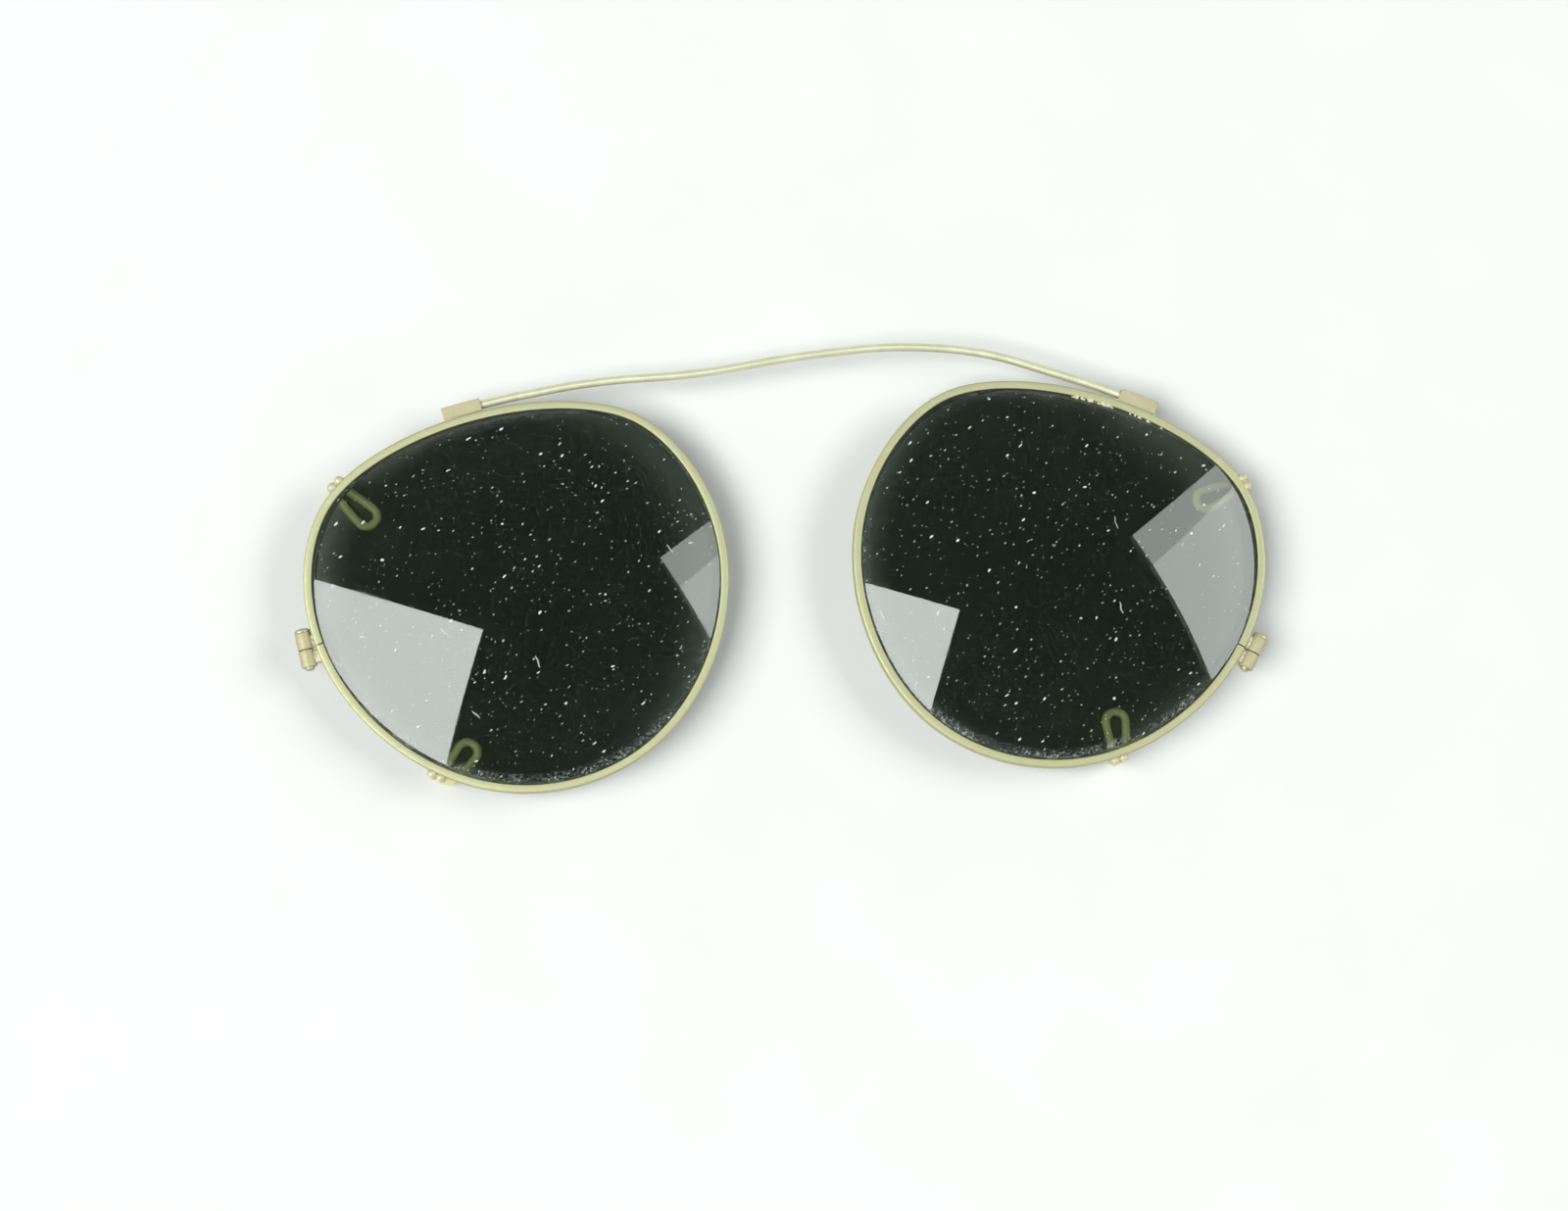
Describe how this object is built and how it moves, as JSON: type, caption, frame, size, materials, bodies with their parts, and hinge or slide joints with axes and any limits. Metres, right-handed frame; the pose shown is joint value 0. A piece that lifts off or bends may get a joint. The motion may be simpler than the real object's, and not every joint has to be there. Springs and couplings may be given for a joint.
{
  "type": "clip-on sunglasses",
  "caption": "Folded-wire clip-on sunglasses: green glass lenses in thin grooved metal rims, joined by a sprung bridge wire, with hairpin hooks behind that grip the wearer's spectacles.",
  "frame": {"origin": "centre of the bounding box, at the height of the surface the four hooks rest on", "axes": "+X from the left-hand rim to the right-hand rim as seen from the front, +Y from the lower edge of the lenses towards the bridge wire, +Z out of the fronts of the lenses"},
  "size_m": [0.111, 0.05, 0.0091],
  "materials": {
    "rim_metal": "satin champagne gold filled, lightly worn",
    "fitting_metal": "satin champagne gold filled, flat filed faces",
    "wire_metal": "satin pale gold hard-drawn wire",
    "screw_metal": "satin, slot darkened",
    "solder": "dull, slightly pitted",
    "green_glass": "polished, very dark green, solid-tinted"
  },
  "bodies": {
    "left_unit": {"left_rim": "rim_metal", "left_lens": "green_glass", "left_bridge_block": "fitting_metal", "left_bridge_block_solder": "solder", "left_upper_barrel": "fitting_metal", "left_lower_barrel": "fitting_metal", "left_closing_solder": "solder", "left_closing_screw": "screw_metal", "left_upper_hook": "wire_metal", "left_upper_hook_solder": "solder", "left_lower_hook": "wire_metal", "left_lower_hook_solder": "solder", "bridge_wire": "wire_metal"},
    "right_unit": {"right_rim": "rim_metal", "right_lens": "green_glass", "right_bridge_block": "fitting_metal", "right_bridge_block_solder": "solder", "right_upper_barrel": "fitting_metal", "right_lower_barrel": "fitting_metal", "right_closing_solder": "solder", "right_closing_screw": "screw_metal", "right_upper_hook": "wire_metal", "right_upper_hook_solder": "solder", "right_lower_hook": "wire_metal", "right_lower_hook_solder": "solder"}
  },
  "joints": [
    {"name": "bridge_flex", "type": "hinge", "parent": "left_unit", "child": "right_unit", "pos_m": [0.00255, 0.02338, 0.00498], "axis": [0, 0, 1], "range_deg": [-3, 12], "stiffness_Nm_per_rad": 0.08, "deforming": ["bridge_wire"]}
  ]
}
